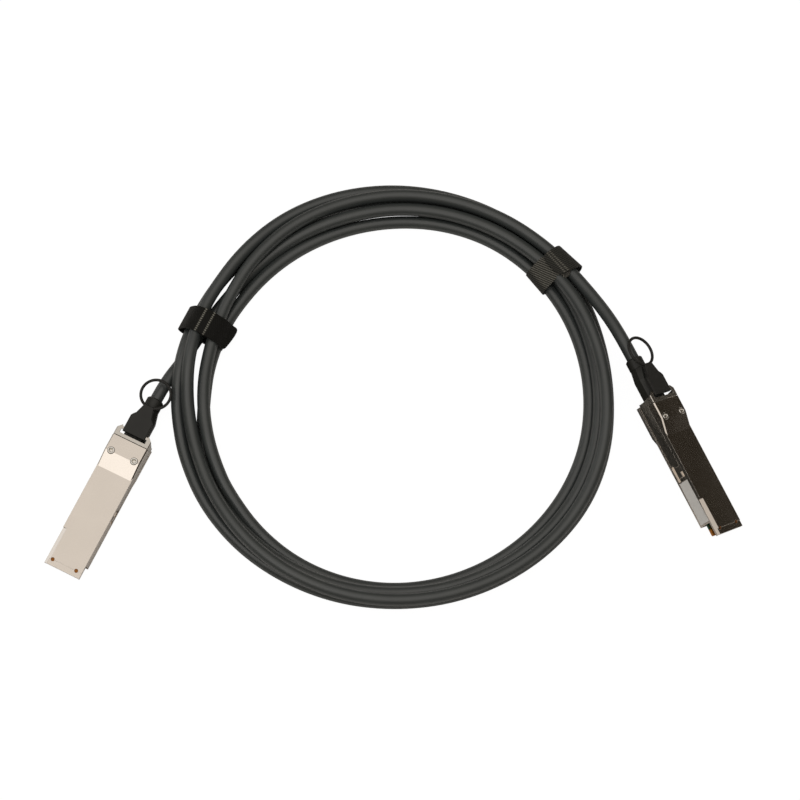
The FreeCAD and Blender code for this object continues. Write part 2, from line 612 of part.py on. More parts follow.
def strain_relief_boot(label):
    """Moulded boot: a flange trapped in the shell, a flat body and a round collar at the cord."""
    body = new_body(label)
    flange = new_sketch(body, "YZ_Plane", "boot_front")
    draw_outline(flange, box_corners(
        "-( boot_flange_width / 2 )", "boot_level - boot_flange_height / 2",
        "boot_flange_width / 2", "boot_level + boot_flange_height / 2"))
    pad(body, flange, "boot_flange_length")

    def section(station, width, height, level, corner):
        outline = new_sketch(body, "YZ_Plane", station)
        w, h, k = width + " / 2", height + " / 2", corner
        draw_outline(outline, [
            ("-( %s )" % w, "%s - ( %s ) + %s" % (level, h, k)),
            ("-( %s ) + %s" % (w, k), "%s - ( %s )" % (level, h)),
            ("%s - %s" % (w, k), "%s - ( %s )" % (level, h)),
            ("%s" % w, "%s - ( %s ) + %s" % (level, h, k)),
            ("%s" % w, "%s + ( %s ) - %s" % (level, h, k)),
            ("%s - %s" % (w, k), "%s + ( %s )" % (level, h)),
            ("-( %s ) + %s" % (w, k), "%s + ( %s )" % (level, h)),
            ("-( %s )" % w, "%s + ( %s ) - %s" % (level, h, k))])
        return outline

    rear_of_flange = "boot_front + boot_flange_length"
    stations = [section(rear_of_flange, "boot_width", "boot_height", "boot_level", "boot_corner"),
                section("boot_shoulder", "boot_width", "boot_height", "boot_level", "boot_corner")]
    straight = pad(body, stations[0], "boot_shoulder - boot_front - boot_flange_length")
    doc.recompute()
    neck = section("collar_front", "neck_width", "neck_width", "cord_level", "neck_corner")
    taper = body.newObject("PartDesign::AdditiveLoft", "Taper")
    taper.Profile = stations[1]
    taper.Sections = [neck]
    taper.Ruled = True
    doc.recompute()
    collar = new_sketch(body, "YZ_Plane", "collar_front")
    draw_circle(collar, 0, "cord_level", "collar_dia")
    pad(body, collar, "collar_rear - collar_front")
    doc.recompute()
    rim = size("collar_rear")
    names = ["Edge%d" % n for n, edge in enumerate(body.Tip.Shape.Edges, start=1)
             if all(near(v.Point.x, rim) for v in edge.Vertexes)]
    dress(body, "Chamfer", "collar_bevel", names)
    return body


def side_label(label):
    """Thin blank label stuck in its seat on one side of the shell."""
    body = new_body(label)
    face = new_sketch(body, "XZ_Plane", "-( plug_width / 2 - label_inset + label_thick )")
    draw_outline(face, box_corners("label_front + label_gap", "label_bottom + label_gap",
                                   "label_rear - label_gap", "label_top - label_gap"))
    pad(body, face, "label_thick")
    return body


PLUG_PIECES = {
    "upper_shell": upper_shell, "lower_shell": lower_shell, "rivets": rivets,
    "nose_pins": nose_pins, "latch_slider": latch_slider, "pull_tab": pull_tab,
    "return_springs": return_springs, "paddle_card": paddle_card, "gold_contacts": gold_contacts,
    "id_chip": id_chip, "crimp_ferrule": crimp_ferrule, "wire_pairs": wire_pairs,
    "strain_relief_boot": strain_relief_boot, "side_label": side_label,
}


# ---------------------------------------------------------------- cord and straps

def cable_coil(label):
    """The outer shape of the laid turns: an eccentric ring, wider where the turns fan out."""
    body = new_body(label)
    plan = new_sketch(body, "XY_Plane", "coil_lift")
    draw_circle(plan, "coil_x", "coil_y", "coil_outer_dia")
    draw_circle(plan, "coil_x + hole_shift_x", "coil_y + hole_shift_y",
                "coil_outer_dia - 2 * coil_width")
    pad(body, plan, "coil_height")
    doc.recompute()
    top = size("coil_lift") + size("coil_height")

    def rims(wanted):
        return ["Edge%d" % n for n, edge in enumerate(body.Tip.Shape.Edges, start=1)
                if len(edge.Vertexes) == 1 and wanted(edge.Curve.Radius, edge.Vertexes[0].Z)]

    outer = size("coil_outer_dia") / 2
    dress(body, "Fillet", "coil_shoulder", rims(lambda r, z: near(r, outer) and near(z, top)))
    hole = outer - size("coil_width")
    dress(body, "Fillet", "coil_round", rims(
        lambda r, z: near(r, hole) or (near(r, outer) and near(z, size("coil_lift")))))
    return body


def rounded_path(points):
    """Straight runs joined by tangent arcs, each using most of half of its shorter run."""
    edges, radii, start = [], [], points[0]
    for before, corner, after in zip(points, points[1:], points[2:]):
        way_in, way_out = (corner - before), (after - corner)
        turn = way_in.getAngle(way_out)
        reach = 0.45 * min(way_in.Length, way_out.Length)
        way_in.normalize()
        way_out.normalize()
        arc_start, arc_end = corner - way_in * reach, corner + way_out * reach
        radius = reach / math.tan(turn / 2)
        inward = (way_out - way_in).normalize()
        middle = corner + inward * (radius / math.cos(turn / 2) - radius)
        edges.append(Part.LineSegment(start, arc_start).toShape())
        edges.append(Part.Arc(arc_start, middle, arc_end).toShape())
        radii.append(radius)
        start = arc_end
    edges.append(Part.LineSegment(start, points[-1]).toShape())
    return Part.Wire(edges), radii


def cable_tail(label, place, route, coil):
    """Free cord between a boot and the coil, trimmed where it lies against the coil."""
    straight, laid = route
    mouth = Vector(size("collar_rear"), 0, size("cord_level"))
    points = [place.multVec(mouth), place.multVec(mouth + Vector(straight, 0, 0))]
    points += [Vector(*spot) for spot in laid]
    path, radii = rounded_path(points)
    rim = Part.Wire(Part.makeCircle(size("cord_dia") / 2, points[0], points[1] - points[0]))
    tube = path.makePipeShell([rim], True, True)
    expected = math.pi * size("cord_dia") ** 2 / 4 * path.Length
    print("%s: length %.1f, volume %.1f of %.1f, radii %s, from %s" % (
        label, path.Length, tube.Volume, expected, ["%.0f" % r for r in radii], points[:2]))
    trimmed = tube.cut(coil.Shape)
    piece = doc.addObject("Part::Feature", label)
    piece.Label = label
    piece.Shape = max(trimmed.Solids or [tube], key=lambda solid: solid.Volume)
    return piece


def strap(label, side):
    """Hook-and-loop strap closed round the coil, its free end lapped over the top."""
    body = new_body(label)
    angle = math.radians(size(side + "_strap_angle"))
    bundle = "( coil_width - hole_shift_x * %.6f - hole_shift_y * %.6f )" % (
        math.cos(angle), math.sin(angle))
    inner_half = "( %s / 2 + %s_strap_room )" % (bundle, side)
    outer_half = "( %s + strap_sheet )" % inner_half
    ceiling = "coil_lift + coil_height + strap_slack"
    band = new_sketch(body, "XZ_Plane")
    draw_round_box(band, "-( %s )" % outer_half, "0", outer_half, ceiling + " + strap_sheet",
                   "( strap_corner + strap_sheet )")
    draw_round_box(band, "-( %s )" % inner_half, "strap_sheet", inner_half, ceiling,
                   "strap_corner")
    pad(body, band, "strap_width", symmetric=True)
    lap = new_sketch(body, "XZ_Plane")
    draw_outline(lap, box_corners(side + "_lap_start", ceiling + " + strap_sheet",
                                  side + "_lap_end", ceiling + " + 2 * strap_sheet"))
    pad(body, lap, "strap_width", symmetric=True)
    doc.recompute()
    away = size("coil_outer_dia") / 2 - value_of(bundle) / 2
    body.Placement = Placement(
        Vector(size("coil_x") + away * math.cos(angle), size("coil_y") + away * math.sin(angle), 0),
        Rotation(Vector(0, 0, 1), size(side + "_strap_turn")))
    return body


# ---------------------------------------------------------------- where each plug lies

def left_plug_place():
    """Flat on its back: it rests on the front of its base and on its head."""
    reach = size("under_slope_end") - size("base_front")
    tilt = math.degrees(math.atan(size("head_drop") / reach))
    turned = Rotation(size("left_yaw"), -tilt, 0)
    foot = turned.multVec(Vector(size("base_front"), 0, 0)).z
    return Placement(Vector(size("left_nose_x"), size("left_nose_y"), -foot), turned)


def right_plug_place():
    """Rolled on to one lower edge, with its rear held a little up by the cord."""
    turned = Rotation(size("right_yaw"), -size("right_lift"), size("right_roll"))
    half, edge = size("plug_width") / 2, size("shell_edge")
    feet = [Vector(size("base_front"), edge - half, 0), Vector(size("base_front"), -half, edge),
            Vector(size("under_slope_end"), -half, edge - size("head_drop")),
            Vector(size("under_slope_end"), edge - half, -size("head_drop"))]
    lowest = min(turned.multVec(foot).z for foot in feet)
    return Placement(Vector(size("right_nose_x"), size("right_nose_y"), -lowest), turned)


coil = cable_coil("cable_coil")
pieces = [coil]
for hand, place, route in (("left", left_plug_place(), LEFT_TAIL),
                           ("right", right_plug_place(), RIGHT_TAIL)):
    for name, make in PLUG_PIECES.items():
        piece = make(name + "_" + hand)
        piece.Placement = place
        pieces.append(piece)
    pieces.append(cable_tail("cable_tail_" + hand, place, route, coil))
    pieces.append(strap("strap_" + hand, hand))
doc.recompute()

for thing in doc.Objects:
    if "Invalid" in thing.State or "Error" in thing.State:
        raise RuntimeError("%s failed: %s" % (thing.Name, thing.State))
for piece in pieces:
    if piece.Shape.isNull() or not piece.Shape.isValid():
        raise RuntimeError("%s has no valid shape" % piece.Label)

os.makedirs("parts", exist_ok=True)
for piece in pieces:
    piece.Shape.exportStep("parts/%s.step" % piece.Label)
    box = piece.Shape.BoundBox
    print("%-26s solids %2d  volume %9.1f  x %.1f..%.1f  y %.1f..%.1f  z %.1f..%.1f" % (
        piece.Label, len(piece.Shape.Solids), piece.Shape.Volume,
        box.XMin, box.XMax, box.YMin, box.YMax, box.ZMin, box.ZMax))
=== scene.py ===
"""Dresses the coiled direct attach cable: its cord, hook-and-loop straps, finishes and studio.

Lengths below are metres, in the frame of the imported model: +Z up, the plugs' noses towards -Y.
"""

import json
import math

import bpy
from mathutils import Matrix, Vector


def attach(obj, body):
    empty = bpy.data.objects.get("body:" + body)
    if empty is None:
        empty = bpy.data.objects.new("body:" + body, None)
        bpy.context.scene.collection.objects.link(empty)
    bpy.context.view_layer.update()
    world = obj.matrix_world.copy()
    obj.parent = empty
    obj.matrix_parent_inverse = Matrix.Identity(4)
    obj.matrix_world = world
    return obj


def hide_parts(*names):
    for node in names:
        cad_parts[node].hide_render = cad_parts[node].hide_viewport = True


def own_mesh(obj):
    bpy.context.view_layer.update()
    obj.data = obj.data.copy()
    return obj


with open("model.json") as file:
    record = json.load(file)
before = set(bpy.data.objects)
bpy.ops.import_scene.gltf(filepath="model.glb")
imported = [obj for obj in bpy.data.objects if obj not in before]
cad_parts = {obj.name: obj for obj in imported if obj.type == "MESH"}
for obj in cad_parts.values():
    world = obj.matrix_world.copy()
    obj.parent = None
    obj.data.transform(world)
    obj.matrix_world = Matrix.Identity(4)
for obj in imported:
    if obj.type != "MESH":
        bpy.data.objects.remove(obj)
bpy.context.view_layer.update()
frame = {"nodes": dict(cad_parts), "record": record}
MM = 0.001

# Where each plug's nose lies, in metres, and the way from its nose to its cord.
PLUGS = {"left": ((-0.15475, -0.0533, 0.0), (0.4460994, 0.8947369, 0.0210038)),
         "right": ((0.1516, -0.0367, 0.0), (-0.4448828, 0.8922968, 0.076719))}


# ---------------------------------------------------------------- finishes

def linear(hex_colour):
    """An sRGB hex colour as the linear colour that the shaders take."""
    parts = [int(hex_colour[i:i + 2], 16) / 255 for i in (1, 3, 5)]
    return [p / 12.92 if p <= 0.04045 else ((p + 0.055) / 1.055) ** 2.4 for p in parts] + [1]


def add(material, kind, inputs=(), **settings):
    """A shader node with its settings; each input is a value, or an output to link from."""
    tree = material.node_tree
    node = tree.nodes.new("ShaderNode" + kind)
    for name, value in settings.items():
        setattr(node, name, value)
    for name, value in dict(inputs).items():
        socket = node.inputs[name]
        if isinstance(value, bpy.types.NodeSocket):
            tree.links.new(value, socket)
        else:
            socket.default_value = value
    return node


def new_material(name):
    """An empty node material and its surface's Principled shader."""
    material = bpy.data.materials.new(name)
    material.use_nodes = True
    return material, material.node_tree.nodes["Principled BSDF"]


def wire(material, output, socket):
    """Links an output that already exists to a socket."""
    material.node_tree.links.new(output, socket)


def patches(millimetres):
    """The scale at which a noise on Object coordinates has patches of this size."""
    return 1 / (millimetres * MM)


def bands(millimetres):
    """The scale at which a wave on a tape's UV, in millimetres, repeats at this pitch."""
    return math.tau / 20 / millimetres


def two_tone(material, factor, dark, light):
    """A colour between two hex tones, by a factor from 0 to 1."""
    mix = add(material, "Mix", data_type="RGBA")
    wire(material, factor, mix.inputs[0])
    mix.inputs[6].default_value = linear(dark)
    mix.inputs[7].default_value = linear(light)
    return mix.outputs[2]


def matte_pvc_jacket():
    """Extruded flame-retardant PVC: dull, faintly mottled, with a soft broad highlight."""
    material, skin = new_material("matte_extruded_pvc_jacket")
    place = add(material, "TexCoord").outputs["Object"]
    mottle = add(material, "TexNoise", {"Vector": place, "Scale": patches(16.7),
                                        "Detail": 3.0})
    wire(material, two_tone(material, mottle.outputs["Fac"], "#393e3f", "#4a4f4e"),
         skin.inputs["Base Color"])
    # the die's drag marks are finer than this, and are drawn coarse enough to show
    grain = add(material, "TexNoise", {"Vector": place, "Scale": patches(0.7), "Detail": 2.0})
    bump = add(material, "Bump", {"Height": grain.outputs["Fac"], "Strength": 0.12,
                                  "Distance": 0.0002})
    wire(material, bump.outputs["Normal"], skin.inputs["Normal"])
    skin.inputs["Roughness"].default_value = 0.38
    skin.inputs["Specular IOR Level"].default_value = 0.8
    return material


def woven_tape(name, dark, light, highlight_tone, highlight_runs, ribs_end):
    """Woven nylon hook-and-loop tape: ribs over its first stretch, their crests painted lighter
    as a painted highlight, fine loops after it, and pale painted highlights where it bends.

    UV runs in millimetres along and across the tape, and the painted highlights' places and
    ribs_end lie along it.
    """
    material, skin = new_material(name)
    uv = add(material, "UVMap").outputs["UV"]
    along = add(material, "SeparateXYZ", {"Vector": uv}).outputs["X"]
    fuzz = add(material, "TexNoise", {"Vector": uv, "Scale": 2.2, "Detail": 4.0}).outputs["Fac"]

    # ribs 1 mm apart that run askew of the tape's edge, and fade where the loops start; the
    # weave is real, and its lighter tone on the crests is a painted highlight
    askew = add(material, "Mapping", {"Vector": uv, "Rotation": (0, 0, math.radians(25))})
    ribs = add(material, "TexWave", {"Vector": askew.outputs["Vector"], "Scale": bands(1.0),
                                     "Distortion": 0.5, "Detail": 1.0}, bands_direction="X")
    fade = add(material, "MapRange", {"Value": along, "From Min": ribs_end - 1.0,
                                      "From Max": ribs_end + 1.0, "To Min": 1.0, "To Max": 0.25})
    ribbed = add(material, "Math", {0: ribs.outputs["Fac"], 1: fade.outputs["Result"]},
                 operation="MULTIPLY").outputs[0]
    faint = add(material, "Math", {0: ribbed, 1: fuzz}, operation="MULTIPLY")
    tone = add(material, "Math", {0: faint.outputs[0], 1: 1.8}, operation="MULTIPLY",
               use_clamp=True)
    colour = two_tone(material, tone.outputs[0], dark, light)

    # a pale painted highlight, dotted like the loops, shows for 0.7 mm each side of a bend over
    # a cord
    highlight_dots = add(material, "TexWave", {"Vector": uv, "Scale": bands(1.05), "Distortion": 2.5,
                                       "Detail": 2.0}, bands_direction="Y")
    for at in highlight_runs:
        past = add(material, "Math", {0: along, 1: at}, operation="SUBTRACT")
        away = add(material, "Math", {0: past.outputs[0]}, operation="ABSOLUTE")
        band = add(material, "MapRange", {"Value": away.outputs[0], "From Min": 0.1,
                                          "From Max": 0.7, "To Min": 1.0, "To Max": 0.0})
        painted_highlight_mask = add(material, "Math", {0: band.outputs["Result"], 1: highlight_dots.outputs["Fac"]},
                   operation="MULTIPLY")
        mix = add(material, "Mix", {0: painted_highlight_mask.outputs[0], 6: colour, 7: linear(highlight_tone)},
                  data_type="RGBA")
        colour = mix.outputs[2]
    wire(material, colour, skin.inputs["Base Color"])

    height = add(material, "Math", {0: ribbed, 1: fuzz}, operation="ADD")
    bump = add(material, "Bump", {"Height": height.outputs[0], "Strength": 0.7,
                                  "Distance": 0.3 * MM})
    wire(material, bump.outputs["Normal"], skin.inputs["Normal"])
    skin.inputs["Roughness"].default_value = 0.7
    skin.inputs["Specular IOR Level"].default_value = 0.25
    skin.inputs["Sheen Weight"].default_value = 0.05
    return material


def metal(name, dark, light, roughness, patch, worn_edge=0.15):
    """A plated or bare metal with a faint mottle, its sharp edges rounded by wear.

    The mottle's patches and the worn edge's radius are in millimetres.
    """
    material, skin = new_material(name)
    place = add(material, "TexCoord").outputs["Object"]
    mottle = add(material, "TexNoise", {"Vector": place, "Scale": patches(patch),
                                        "Detail": 4.0}).outputs["Fac"]
    wire(material, two_tone(material, mottle, dark, light), skin.inputs["Base Color"])
    rough = add(material, "MapRange", {"Value": mottle, "To Min": roughness - 0.02,
                                       "To Max": roughness + 0.02})
    wire(material, rough.outputs["Result"], skin.inputs["Roughness"])
    rounded = add(material, "Bevel", {"Radius": worn_edge * MM}, samples=6)
    wire(material, rounded.outputs["Normal"], skin.inputs["Normal"])
    skin.inputs["Metallic"].default_value = 1.0
    return material


def moulded(name, dark, light, roughness, grain_size=0.4, grain=0.1):
    """A moulded plastic with a spark-eroded grain, whose size is in millimetres."""
    material, skin = new_material(name)
    place = add(material, "TexCoord").outputs["Object"]
    mottle = add(material, "TexNoise", {"Vector": place, "Scale": patches(4.5), "Detail": 3.0})
    wire(material, two_tone(material, mottle.outputs["Fac"], dark, light),
         skin.inputs["Base Color"])
    texture = add(material, "TexNoise", {"Vector": place, "Scale": patches(grain_size),
                                         "Detail": 2.0})
    bump = add(material, "Bump", {"Height": texture.outputs["Fac"], "Strength": grain,
                                  "Distance": 0.1 * MM})
    wire(material, bump.outputs["Normal"], skin.inputs["Normal"])
    skin.inputs["Roughness"].default_value = roughness
    return material


def solder_masked_card():
    """Glass-epoxy board: dark green mask, and bare golden laminate along its leading edge."""
    material, skin = new_material("solder_masked_glass_epoxy")
    place = add(material, "TexCoord").outputs["Object"]
    behind = []
    for nose, axis in PLUGS.values():
        offset = add(material, "VectorMath", {0: place, 1: nose}, operation="SUBTRACT")
        along = add(material, "VectorMath", {0: offset.outputs[0], 1: axis},
                    operation="DOT_PRODUCT")
        behind.append(along.outputs["Value"])
    side = add(material, "SeparateXYZ", {"Vector": place}).outputs["X"]
    right = add(material, "Math", {0: side, 1: 0.0}, operation="GREATER_THAN")
    chosen = add(material, "Mix", {0: right.outputs[0], 2: behind[0], 3: behind[1]})
    # the mask starts 4.8 mm behind the plug's nose
    mask = add(material, "Math", {0: chosen.outputs[0], 1: 4.8 * MM}, operation="GREATER_THAN")
    wire(material, two_tone(material, mask.outputs[0], "#c07a2c", "#163f28"),
         skin.inputs["Base Color"])
    skin.inputs["Roughness"].default_value = 0.3
    return material


FINISHES = {
    # warm satin white metal, bright enough to mirror the studio
    "die_cast_shell": metal("nickel_plated_zinc_die_casting", "#d2cac1", "#dad2c9", 0.12, 11.1),
    # small bright rings with dark bores
    "rivet_steel": metal("bright_steel_rivet", "#d8d5cf", "#eeebe6", 0.1, 3.3),
    # brown dots in the pale nose
    "pin_bronze": metal("dull_bronze_locating_pin", "#7d4c22", "#9b6532", 0.38, 2.5, 0.05),
    # cooler and a little duller than the shells
    "stamped_steel": metal("stamped_stainless_spring_steel", "#bdb8b1", "#c8c4bd", 0.22, 16.7),
    "spring_steel": metal("drawn_spring_wire", "#8a8a88", "#b5b5b2", 0.3, 1.1, 0.02),
    "gold_plate": metal("hard_gold_plating", "#c98f2e", "#e6b95a", 0.25, 1.1, 0.02),
    "crimp_brass": metal("drawn_brass_crimp", "#a88f55", "#c9b27a", 0.3, 2.0, 0.05),
    # flat black rubber, with the boot a shade lighter
    "tab_elastomer": moulded("moulded_elastomer_pull_tab", "#1e1e1c", "#2b2b28", 0.55),
    "boot_elastomer": moulded("overmoulded_strain_relief", "#232421", "#30312d", 0.5),
    "card_laminate": solder_masked_card(),
    "chip_resin": moulded("moulded_epoxy_package", "#161616", "#202020", 0.6),
    # wrinkled pale foil
    "pair_insulation": moulded("foil_wrapped_twin_pairs", "#a9a294", "#c9c3b6", 0.4, 1.7, 0.2),
    # smooth white film with a soft shine
    "label_film": moulded("satin_polyester_label_film", "#f1f1ee", "#fafaf8", 0.35, 2.0, 0.03),
}
JACKET = matte_pvc_jacket()

# the coil, the free ends and the straps get theirs on the pieces that stand for them
slot_of = {s["node"]: s["material_slot"] for s in frame["record"]["subparts"]}
for name, node in frame["nodes"].items():
    finish = FINISHES.get(slot_of[name])
    if finish:
        node.data.materials.clear()
        node.data.materials.append(finish)


# ---------------------------------------------------------------- the cord

COIL_MIDDLE = Vector((0.0, 31.5, 0.0))
CORD_DIAMETER = 6.1 * MM

# The free cord at each end, in millimetres: out of a boot, and on to the coil.
LEFT_TAIL = [(-113.258, 29.920, 6.057), (-108.797, 38.867, 6.268)]
RIGHT_TAIL = [(94.9, 79.2, 11.9), (102.1, 67.8, 14.4), (108.163, 56.219, 16.0),
              (112.612, 47.296, 15.233)]

# The turns, clockwise seen from above.  Each station is an angle about the coil's
# middle, the cord's distance from it and its height, in degrees and millimetres.
TURNS = [
    # from the left plug: low, under the outer strands to the middle of the bundle
    (170, 103.1, 4.0), (163, 99.2, 3.1), (156, 96.8, 3.1), (149, 94.9, 3.1), (135, 93.9, 3.2),
    # then up between its neighbours, and the topmost strand from the right strap on
    (120, 93.3, 5.9), (105, 92.9, 7.9), (90, 94.0, 8.3), (75, 94.9, 8.4), (60, 96.0, 8.7),
    (45, 96.8, 9.5), (30, 98.0, 12.2), (15, 98.5, 13.1), (0, 99.6, 13.1), (-15, 101.1, 12.1),
    (-30, 102.0, 11.2), (-45, 101.9, 11.5), (-60, 100.9, 12.0), (-75, 100.3, 12.5),
    (-90, 99.9, 12.8), (-105, 99.8, 12.8), (-120, 99.4, 12.7), (-135, 98.7, 12.3),
    (-150, 97.6, 10.3), (-163, 97.1, 9.3), (-174, 97.6, 9.7), (-182, 98.2, 11.4),
    (-189, 98.8, 13.6), (-196, 99.3, 12.9), (-203, 100.4, 10.2),
    # second turn: over the left strap's outer side, then down to be the outermost strand
    (-210, 101.0, 9.2), (-225, 102.3, 8.9), (-240, 104.5, 6.4), (-255, 105.4, 4.1),
    (-270, 105.4, 3.1), (-285, 104.9, 3.1), (-300, 104.7, 3.1), (-315, 104.4, 3.1),
    (-330, 102.9, 3.1), (-345, 101.1, 3.1), (-360, 100.8, 3.1), (-375, 102.0, 3.1),
    (-390, 102.7, 3.1), (-405, 101.7, 3.1), (-420, 100.4, 3.1), (-435, 99.5, 3.1),
    (-450, 99.0, 3.1), (-465, 99.5, 3.1), (-480, 100.3, 3.1), (-495, 101.6, 3.1),
    (-510, 102.6, 3.1), (-524, 102.9, 3.4), (-534, 103.0, 5.2), (-541, 103.1, 7.6),
    (-548, 102.9, 9.6), (-555, 102.8, 8.3), (-562, 102.7, 4.8),
    # third turn: low in the middle of the bundle, and inwards before the left strap
    (-569, 102.8, 3.1), (-577, 102.4, 3.1), (-586, 101.2, 3.1), (-600, 99.4, 3.1),
    (-615, 97.9, 3.1), (-630, 97.5, 3.1), (-645, 98.2, 3.1), (-660, 98.6, 3.1),
    (-675, 98.3, 3.7), (-690, 97.6, 6.2), (-705, 96.6, 7.1), (-720, 96.7, 7.6),
    (-735, 97.4, 7.1), (-750, 97.7, 6.7), (-765, 97.1, 7.1), (-780, 96.4, 7.7),
    (-795, 96.0, 8.1), (-810, 95.7, 8.4), (-825, 96.0, 8.1), (-840, 96.2, 7.6),
    (-855, 96.5, 6.3), (-870, 96.7, 3.5), (-878, 95.5, 3.1), (-886, 93.5, 3.1),
    (-894, 91.3, 3.1), (-902, 90.2, 3.1), (-910, 89.9, 3.1), (-920, 89.2, 3.1),
    # fourth turn: innermost, rising over the third below the left strap
    (-930, 88.6, 3.1), (-945, 88.0, 3.1), (-960, 88.0, 3.1), (-975, 88.3, 3.1),
    (-990, 89.2, 3.1), (-1005, 90.7, 3.1), (-1020, 92.0, 3.1), (-1035, 92.4, 3.1),
    (-1050, 92.4, 3.1), (-1065, 92.3, 3.1), (-1080, 92.5, 3.1), (-1095, 92.8, 3.1),
    (-1110, 92.7, 3.1), (-1125, 92.5, 3.1), (-1140, 92.4, 3.1), (-1155, 92.5, 3.1),
    (-1170, 92.7, 3.1), (-1185, 92.6, 3.1), (-1200, 92.2, 3.1), (-1215, 91.3, 3.3),
    (-1230, 90.7, 4.9), (-1238, 90.5, 7.0), (-1246, 90.5, 8.6), (-1255, 90.5, 9.3),
    (-1265, 90.6, 9.3), (-1275, 90.7, 9.2),
    # last pass: across the top to the outside, and away to the right plug
    (-1283, 91.6, 9.2), (-1291, 92.8, 9.2), (-1305, 96.0, 9.2), (-1320, 98.5, 9.9),
    (-1335, 99.9, 9.0), (-1350, 101.3, 8.3), (-1365, 102.0, 8.5), (-1380, 102.8, 9.1),
    (-1394, 103.6, 9.5), (-1404, 104.3, 10.3),
]


def cord_route():
    """Control points of the whole cord, from the left boot to the right one."""
    route = [Vector(p) * MM for p in LEFT_TAIL]
    for before, here, after in zip(TURNS[:1] + TURNS, TURNS, TURNS[1:] + TURNS[-1:]):
        turn = math.radians(here[0])
        # a spline runs inside its own points, so each lies that little further out
        away = here[1] / math.cos(math.radians(before[0] - after[0]) / 4)
        route.append((COIL_MIDDLE + Vector((away * math.cos(turn), away * math.sin(turn),
                                            here[2]))) * MM)
    return route + [Vector(p) * MM for p in RIGHT_TAIL]


def make_cord():
    """The cord as one open NURBS spline with a round section."""
    curve = bpy.data.curves.new("twinax_cord", "CURVE")
    curve.dimensions = "3D"
    spline = curve.splines.new("NURBS")
    route = cord_route()
    spline.points.add(len(route) - 1)
    for point, place in zip(spline.points, route):
        point.co = (*place, 1)
    spline.order_u = 3
    spline.use_endpoint_u = True
    spline.resolution_u = 8
    curve.bevel_depth = CORD_DIAMETER / 2
    curve.bevel_resolution = 5
    curve.use_fill_caps = True
    cord = bpy.data.objects.new("twinax_cord", curve)
    bpy.context.scene.collection.objects.link(cord)
    curve.materials.append(JACKET)
    return cord


# ---------------------------------------------------------------- straps

TAPE_THICKNESS = 0.8 * MM


def strap(name, profile, width, place, turn, finish, lean=0.0, flare=0.0, tip=0.0):
    """A tape wrapped round the bundle: a strip extruded along its profile, then thickened.

    The profile is (across, up) in millimetres from the bundle's middle, and place and turn put
    that middle in the model.  Lean is the slope by which the outer side runs askew, flare is how
    much wider it is there, and tip is how far one corner of the loose end leads the other.
    """
    bpy.ops.object.select_all(action="DESELECT")
    bpy.ops.mesh.primitive_plane_add(size=1)
    tape = bpy.context.object
    tape.name = tape.data.name = name
    start = profile[0]
    for vertex in tape.data.vertices:
        vertex.co = Vector((start[0], math.copysign(width / 2, vertex.co.y), start[1])) * MM
    bpy.ops.object.mode_set(mode="EDIT")
    bpy.ops.mesh.select_all(action="SELECT")
    bpy.ops.mesh.remove_doubles(threshold=1e-6)
    for a, b in zip(profile, profile[1:]):
        bpy.ops.mesh.extrude_region_move(
            TRANSFORM_OT_translate={"value": Vector((b[0] - a[0], 0, b[1] - a[1])) * MM})
    bpy.ops.object.mode_set(mode="OBJECT")

    # the UV map unrolls the tape, in millimetres
    run = {corner: run_of(profile, i) for i, corner in enumerate(profile)}
    layer = tape.data.uv_layers[0]
    for loop in tape.data.loops:
        co = tape.data.vertices[loop.vertex_index].co / MM
        layer.data[loop.index].uv = (run[(round(co.x, 2), round(co.z, 2))], co.y)

    for vertex in tape.data.vertices:
        co = vertex.co / MM
        if (round(co.x, 2), round(co.z, 2)) == profile[-1]:
            vertex.co.x += math.copysign(tip / 2, co.y) * MM
        # 0 over the bundle's inner half, and 1 from 8 mm out
        outer = min(1, max(0, (co.x - 2) / 6))
        vertex.co.x -= lean * co.y * outer * MM
        vertex.co.y -= flare * (0.5 - co.y / width) * outer * MM
    for kind, settings in (
            ("SUBSURF", {"levels": 2, "render_levels": 2}),
            ("SOLIDIFY", {"thickness": TAPE_THICKNESS, "offset": 0.0}),
            ("BEVEL", {"width": 0.18 * MM, "segments": 2, "limit_method": "ANGLE"})):
        modifier = tape.modifiers.new(kind.lower(), kind)
        for key, value in settings.items():
            setattr(modifier, key, value)
        bpy.ops.object.modifier_apply(modifier=modifier.name)
    tape.data.transform(Matrix.Translation(Vector(place) * MM)
                        @ Matrix.Rotation(math.radians(turn), 4, "Z"))
    bpy.ops.object.shade_smooth_by_angle(angle=math.radians(40))
    tape.data.materials.append(finish)
    return tape


def run_of(profile, corner):
    """How far along its tape a corner of a profile lies, in millimetres."""
    return sum(math.dist(a, b) for a, b in zip(profile[:corner], profile[1:corner + 1]))


# Each wrap starts under its own lap, goes down the inner side, below the cords and up the outer
# side, and ends over the start.
LEFT_WRAP = [
    (6.0, 13.6), (4.4, 14.4), (2.4, 14.7), (-1.0, 14.7), (-3.6, 13.8), (-6.2, 12.9),
    (-8.6, 11.0), (-9.8, 8.0), (-11.4, 4.6), (-10.7, 1.8), (-8.0, 0.6), (0.0, 0.5),
    (8.5, 0.6), (11.3, 1.8), (12.2, 4.2), (11.4, 6.9), (9.4, 10.6), (7.4, 13.6), (5.2, 15.1),
    (3.1, 15.8), (1.0, 15.9), (-1.1, 15.8), (-3.8, 14.8), (-6.4, 13.9), (-8.9, 12.0),
    (-10.6, 9.4), (-12.2, 7.6), (-14.0, 6.8)]
RIGHT_WRAP = [
    (2.0, 13.7), (-0.6, 13.6), (-3.0, 12.5), (-5.5, 10.6), (-7.5, 9.0), (-8.9, 6.8),
    (-9.2, 3.2), (-6.0, 0.7), (0.0, 0.5), (7.2, 0.6), (10.8, 2.0), (12.2, 4.6),
    (12.6, 8.2), (11.6, 11.6), (9.4, 14.0), (6.2, 14.9), (3.0, 15.0), (-0.4, 14.8)]
